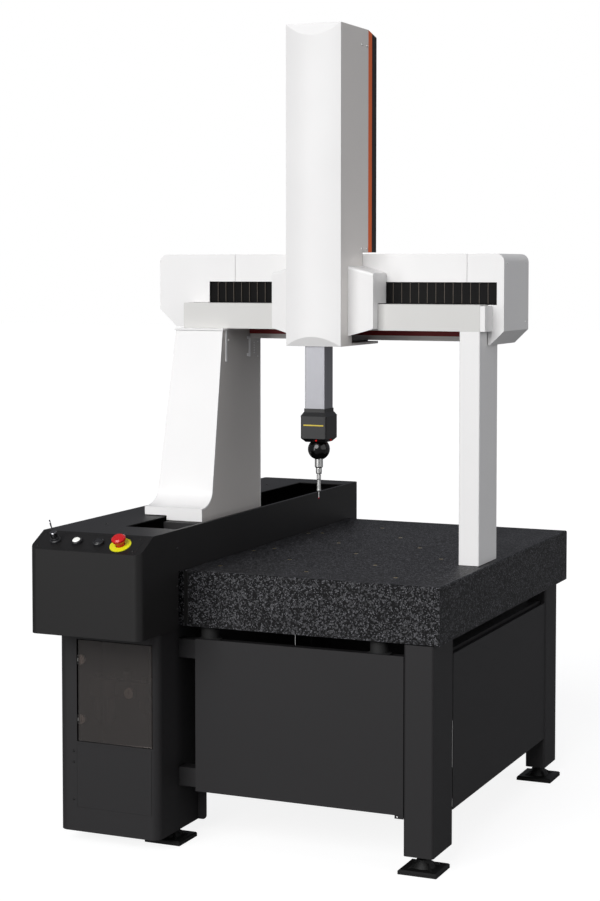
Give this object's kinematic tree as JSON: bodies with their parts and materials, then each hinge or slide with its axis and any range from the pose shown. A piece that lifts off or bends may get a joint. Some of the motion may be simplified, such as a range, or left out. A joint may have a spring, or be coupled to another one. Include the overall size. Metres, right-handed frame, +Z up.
{
  "type": "coordinate measuring machine",
  "caption": "Bridge-type coordinate measuring machine: granite table on a steel stand, moving bridge, sliding column with an indexing touch probe, front controls and air cabinet.",
  "frame": {"origin": "middle of the overall footprint, on the floor", "axes": "+X to the operator's right along the bridge, +Y away from the operator along the table, +Z up"},
  "size_m": [1.067, 1.4666, 2.185],
  "materials": {
    "granite": "ground black granite with fine grey speckle",
    "bronze": "turned pale bronze",
    "white_paint": "fine textured white powder coat",
    "grey_paint": "fine textured light grey powder coat",
    "orange_paint": "satin orange powder coat",
    "dark_paint": "textured charcoal powder coat",
    "red_rubber": "dark red rubber strip",
    "bellows_cloth": "coated black cloth",
    "steel": "bare satin steel",
    "cast_aluminium": "ground and anodised aluminium",
    "black_cast": "black painted casting",
    "black_rubber": "black damping rubber",
    "black_plastic": "moulded black plastic",
    "white_button": "translucent white plastic",
    "red_plastic": "moulded red plastic",
    "yellow_plate": "yellow plate",
    "chrome_key": "plated key",
    "gauge_case": "gauge case and dial",
    "smoked_acrylic": "smoked clear acrylic",
    "ruby": "polished synthetic ruby"
  },
  "bodies": {
    "base": {"stand_posts": "dark_paint", "stand_rails": "dark_paint", "stand_panels": "dark_paint", "foot_pads": "black_cast", "foot_studs": "steel", "foot_locknuts": "steel", "granite_mounts": "black_rubber", "granite_table": "granite", "table_inserts": "bronze", "y_guide_bar": "cast_aluminium", "y_drive_bar": "cast_aluminium", "control_box": "dark_paint", "control_panel": "dark_paint", "guide_cover": "dark_paint", "rear_cap": "dark_paint", "switch_collars": "black_plastic", "estop_disc": "yellow_plate", "cabinet_shell": "dark_paint", "cabinet_back_plate": "dark_paint", "door_hinge_eyes": "steel", "air_filters": "black_plastic", "air_regulator": "black_plastic", "pressure_gauge": "gauge_case", "air_unit_bracket": "steel"},
    "bridge": {"left_leg": "grey_paint", "left_leg_cover": "white_paint", "leg_base": "dark_paint", "bridge_air_pads": "cast_aluminium", "right_leg": "white_paint", "x_beam": "dark_paint", "lower_rail": "grey_paint", "red_rail_seal": "red_rubber", "beam_skirt": "grey_paint", "beam_top_cover": "white_paint", "left_end_cover": "white_paint", "right_end_cover": "white_paint", "x_drive_motor": "cast_aluminium"},
    "carriage": {"column_front": "white_paint", "column_sides": "grey_paint", "column_trim": "orange_paint", "column_back": "dark_paint", "carriage_frame": "cast_aluminium", "carriage_bearings": "cast_aluminium", "carriage_base": "cast_aluminium", "wing_fairings": "white_paint", "balance_cylinder": "cast_aluminium", "bellows_left": "bellows_cloth", "bellows_right": "bellows_cloth"},
    "spindle": {"quill": "cast_aluminium", "probe_head": "black_plastic"},
    "swivel": {"swivel_ball": "steel"},
    "probe": {"probe_body": "steel"},
    "stylus_arm": {"stylus": "steel", "stylus_tip": "ruby"},
    "emergency_stop": {"estop_button": "red_plastic"},
    "start_switch": {"start_button": "white_button"},
    "signal_switch": {"signal_button": "black_plastic"},
    "key": {"switch_key": "chrome_key"},
    "door": {"cabinet_door": "smoked_acrylic", "door_hinge_cups": "steel"}
  },
  "joints": [
    {"name": "bridge_slide", "type": "slide", "parent": "base", "child": "bridge", "axis": [0, 1, 0], "range_m": [-0.205, 0.5]},
    {"name": "carriage_slide", "type": "slide", "parent": "bridge", "child": "carriage", "axis": [1, 0, 0], "range_m": [-0.214, 0.291], "deforming": ["bellows_left", "bellows_right"]},
    {"name": "spindle_slide", "type": "slide", "parent": "carriage", "child": "spindle", "axis": [0, 0, 1], "range_m": [-0.16, 0.168]},
    {"name": "head_yaw", "type": "hinge", "parent": "spindle", "child": "swivel", "pos_m": [0.0485, -0.185, 1.05], "axis": [0, 0, 1], "range_deg": [-180, 180]},
    {"name": "probe_tilt", "type": "hinge", "parent": "swivel", "child": "probe", "pos_m": [0.0485, -0.185, 1.0415], "axis": [0, 1, 0], "range_deg": [0, 105]},
    {"name": "stylus_deflection", "type": "hinge", "parent": "probe", "child": "stylus_arm", "pos_m": [0.0485, -0.185, 0.9735], "axis": [0, 1, 0], "range_deg": [-14, 14], "stiffness_Nm_per_rad": 0.06},
    {"name": "estop_press", "type": "slide", "parent": "base", "child": "emergency_stop", "axis": [0, 0.473, -0.881], "range_m": [0, 0.005], "stiffness_N_per_m": 700},
    {"name": "start_press", "type": "slide", "parent": "base", "child": "start_switch", "axis": [0, 0.473, -0.881], "range_m": [0, 0.003], "stiffness_N_per_m": 400},
    {"name": "signal_press", "type": "slide", "parent": "base", "child": "signal_switch", "axis": [0, 0.473, -0.881], "range_m": [0, 0.003], "stiffness_N_per_m": 400},
    {"name": "key_turn", "type": "hinge", "parent": "base", "child": "key", "pos_m": [-0.473, -0.69853, 0.82624], "axis": [0, -0.473, 0.881], "range_deg": [-45, 45]},
    {"name": "door_hinge", "type": "hinge", "parent": "base", "child": "door", "pos_m": [-0.4744, -0.5884, 0.415], "axis": [0, 0, -1], "range_deg": [0, 100]}
  ]
}
